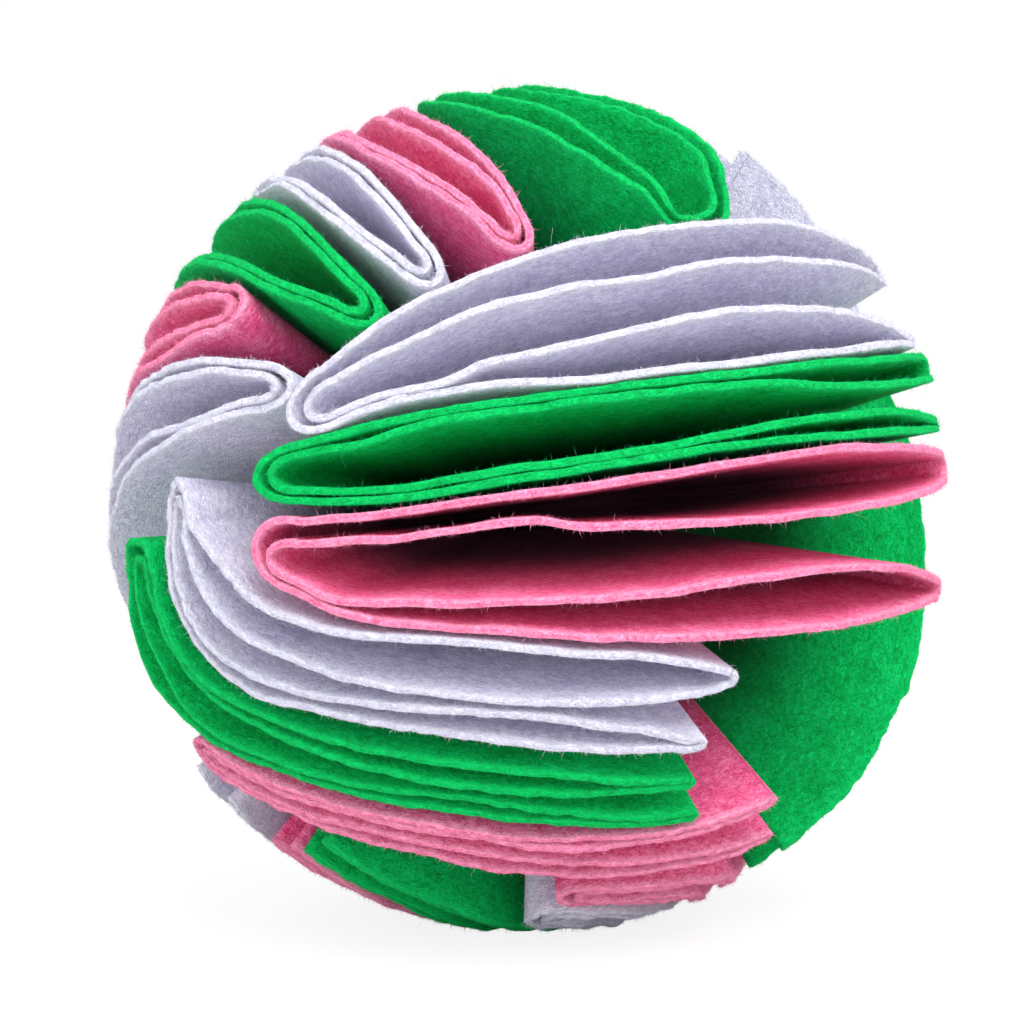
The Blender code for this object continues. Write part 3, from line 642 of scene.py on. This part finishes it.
# The right and rear leaves: seven felt discs that stand upright side by side behind the others.
# The rear cord goes through their tips.
EVEN_LINES = ((3.2, 5.4, 6.2, 6.2, 5.4), (1.2, 2.6, 3.0, 3.0, 3.8),
              (-1.2, -2.6, -3.0, -3.0, -3.8), (-3.2, -5.4, -6.2, -6.2, -5.4))
REAR_LEAVES = {
    "green_leaf_7": (
        ((97, 36), (98, 12), (98, -14), (92, -36), (73, -54)),
        EVEN_LINES, (1.0, 1.0), (), (0.0065, 0.75)),
    "lavender_leaf_8": (
        ((121, -20), (120, 5), (114, 31), (105, 50), (92, 62)),
        EVEN_LINES, (1.0, 1.0)),
    "pink_leaf_7": (
        ((140, -29), (140, 0), (136, 28), (128, 56)),
        EVEN_LINES, (1.0, 1.0)),
    "green_leaf_8": (
        ((159, -30), (159, 0), (157, 28), (152, 54)),
        EVEN_LINES, (1.0, 1.0)),
    "lavender_leaf_7": (
        ((177, -28), (177, -4), (176, 21), (174, 48)),
        EVEN_LINES, (1.0, 1.0)),
    "pink_leaf_8": (
        ((-158, -29), (-161, -5), (-164, 20), (-167, 46)),
        EVEN_LINES, (1.0, 1.0)),
    "green_leaf_6": (
        ((-130, -31), (-136, -10), (-141, 12), (-149, 34)),
        EVEN_LINES, (1.0, 1.0)),
}

for leaf_name, leaf in REAR_LEAVES.items():
    string_leaf(leaf_name, leaf)


# The three cords and the small tie: 1 mm twisted polyester cord. Each cord is a closed loop
# through the folded tips, and the tie holds the three together at the ball's middle.
def twisted_cord_finish(name):
    """Two plies twisted together: fine slanting bands across a pale, slightly silky thread."""
    finish = bpy.data.materials.new(name)
    finish.use_nodes = True
    nodes, links = finish.node_tree.nodes, finish.node_tree.links
    shader = nodes["Principled BSDF"]
    shader.inputs["Roughness"].default_value = 0.6
    place = nodes.new("ShaderNodeTexCoord")
    bands = nodes.new("ShaderNodeTexWave")
    bands.bands_direction = "DIAGONAL"
    bands.inputs["Scale"].default_value = 700
    bands.inputs["Distortion"].default_value = 2.5
    links.new(place.outputs["Object"], bands.inputs["Vector"])
    ramp = nodes.new("ShaderNodeValToRGB")
    ramp.color_ramp.elements[0].color = (0.62, 0.62, 0.58, 1)
    ramp.color_ramp.elements[1].color = (0.88, 0.88, 0.85, 1)
    links.new(bands.outputs["Fac"], ramp.inputs["Fac"])
    links.new(ramp.outputs["Color"], shader.inputs["Base Color"])
    bump = nodes.new("ShaderNodeBump")
    bump.inputs["Strength"].default_value = 0.5
    bump.inputs["Distance"].default_value = 0.0001
    links.new(bands.outputs["Fac"], bump.inputs["Height"])
    links.new(bump.outputs["Normal"], shader.inputs["Normal"])
    return finish


cord_finish = twisted_cord_finish("twisted_cord")
for node in ("front_cord", "left_cord", "rear_cord", "middle_tie"):
    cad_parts[node].material_slots[0].material = cord_finish


# The floor under the ball: a plain white sheet of board. The camera sees it white, with the
# ball's soft shadow on it, and to everything else it is plain matt board.
def seen_straight(nodes, links):
    """1 where the camera sees a thing straight, in a gloss or through something clear, else 0."""
    path = nodes.new("ShaderNodeLightPath")
    out = path.outputs["Is Camera Ray"]
    for also in ("Is Glossy Ray", "Is Transmission Ray"):
        either = nodes.new("ShaderNodeMath")
        either.operation = "MAXIMUM"
        links.new(out, either.inputs[0])
        links.new(path.outputs[also], either.inputs[1])
        out = either.outputs[0]
    return out


FLOOR_HALF = 1.5
FLOOR_DROP = 0.0001
floor_corners = [(FLOOR_HALF * x, FLOOR_HALF * y, -FLOOR_DROP)
                 for x, y in ((-1, -1), (1, -1), (1, 1), (-1, 1))]
floor_mesh = bpy.data.meshes.new("floor")
floor_mesh.from_pydata(floor_corners, [], [(0, 1, 2, 3)])
board = bpy.data.materials.new("white_board")
board.use_nodes = True
board_nodes, board_links = board.node_tree.nodes, board.node_tree.links
matt = board_nodes["Principled BSDF"]
matt.inputs["Base Color"].default_value = (0.82, 0.82, 0.82, 1)
matt.inputs["Roughness"].default_value = 0.9
glow = board_nodes.new("ShaderNodeEmission")
glow.inputs["Strength"].default_value = 1.06
seen = seen_straight(board_nodes, board_links)
ground = board_nodes.new("ShaderNodeTexCoord")
away = board_nodes.new("ShaderNodeVectorMath")
away.operation = "LENGTH"
far_share = board_nodes.new("ShaderNodeMapRange")
far_share.interpolation_type = "SMOOTHSTEP"
far_share.inputs["From Min"].default_value = 0.06
far_share.inputs["From Max"].default_value = 0.30
far_share.inputs["To Min"].default_value = 0.82
far_share.inputs["To Max"].default_value = 1.0
share = board_nodes.new("ShaderNodeMath")
share.operation = "MULTIPLY"
board_links.new(ground.outputs["Object"], away.inputs[0])
board_links.new(away.outputs["Value"], far_share.inputs["Value"])
board_links.new(far_share.outputs[0], share.inputs[1])
blend = board_nodes.new("ShaderNodeMixShader")
board_links.new(seen, share.inputs[0])
board_links.new(share.outputs[0], blend.inputs[0])
board_links.new(matt.outputs[0], blend.inputs[1])
board_links.new(glow.outputs[0], blend.inputs[2])
board_links.new(blend.outputs[0], board_nodes["Material Output"].inputs["Surface"])
floor = put_together("floor", floor_mesh, board, False)


# The studio: a white room, one large soft lamp above the front right, and a weaker one on the
# left. The room shows pure white to the camera and lights the ball a little brighter than that.
room = bpy.data.worlds.new("white_room")
bpy.context.scene.world = room
room.use_nodes = True
room_nodes, room_links = room.node_tree.nodes, room.node_tree.links
light = room_nodes["Background"]
light.inputs["Color"].default_value = (1, 1, 1, 1)
seen_room = seen_straight(room_nodes, room_links)
level = room_nodes.new("ShaderNodeMapRange")
level.inputs["To Min"].default_value = 1.15
level.inputs["To Max"].default_value = 1.0
room_links.new(seen_room, level.inputs["Value"])
room_links.new(level.outputs[0], light.inputs["Strength"])


def lamp(name, place, target, size, power):
    """A square soft lamp at a place, turned to face the target."""
    data = bpy.data.lights.new(name, "AREA")
    data.size = size
    data.energy = power
    item = bpy.data.objects.new(name, data)
    item.location = place
    way = np.array(target) - np.array(place)
    item.rotation_euler = (np.arctan2(np.hypot(way[0], way[1]), -way[2]), 0,
                           np.arctan2(-way[0], way[1]))
    bpy.context.scene.collection.objects.link(item)


KEY_PLACE = (0.30, -0.80, 1.10)
KEY_SIDE = 0.8
KEY_WATTS = 14.5
FILL_PLACE = (-0.35, -1.3, 0.45)
FILL_SIDE = 1.0
FILL_WATTS = 3.0
lamp("key_lamp", KEY_PLACE, BALL_MIDDLE, KEY_SIDE, KEY_WATTS)
lamp("fill_lamp", FILL_PLACE, BALL_MIDDLE, FILL_SIDE, FILL_WATTS)


# The camera: level with the ball's middle and 339 mm in front of it, as the spread of the rims
# in the photograph shows.
CAMERA_AWAY = 0.339
PICTURE_PIXELS = 1024
SHIFT_RIGHT_PIXELS = -20
SHIFT_UP_PIXELS = -2
eye = bpy.data.cameras.new("camera")
eye.sensor_width = 36.0
eye.lens = 70.3
eye.shift_x = SHIFT_RIGHT_PIXELS / PICTURE_PIXELS
eye.shift_y = SHIFT_UP_PIXELS / PICTURE_PIXELS
camera = bpy.data.objects.new("camera", eye)
camera.location = (0.0, -CAMERA_AWAY, BALL_MIDDLE[2])
camera.rotation_euler = (np.pi / 2, 0, 0)
bpy.context.scene.collection.objects.link(camera)
bpy.context.scene.camera = camera
bpy.context.scene.view_settings.view_transform = "Standard"

bpy.context.view_layer.update()
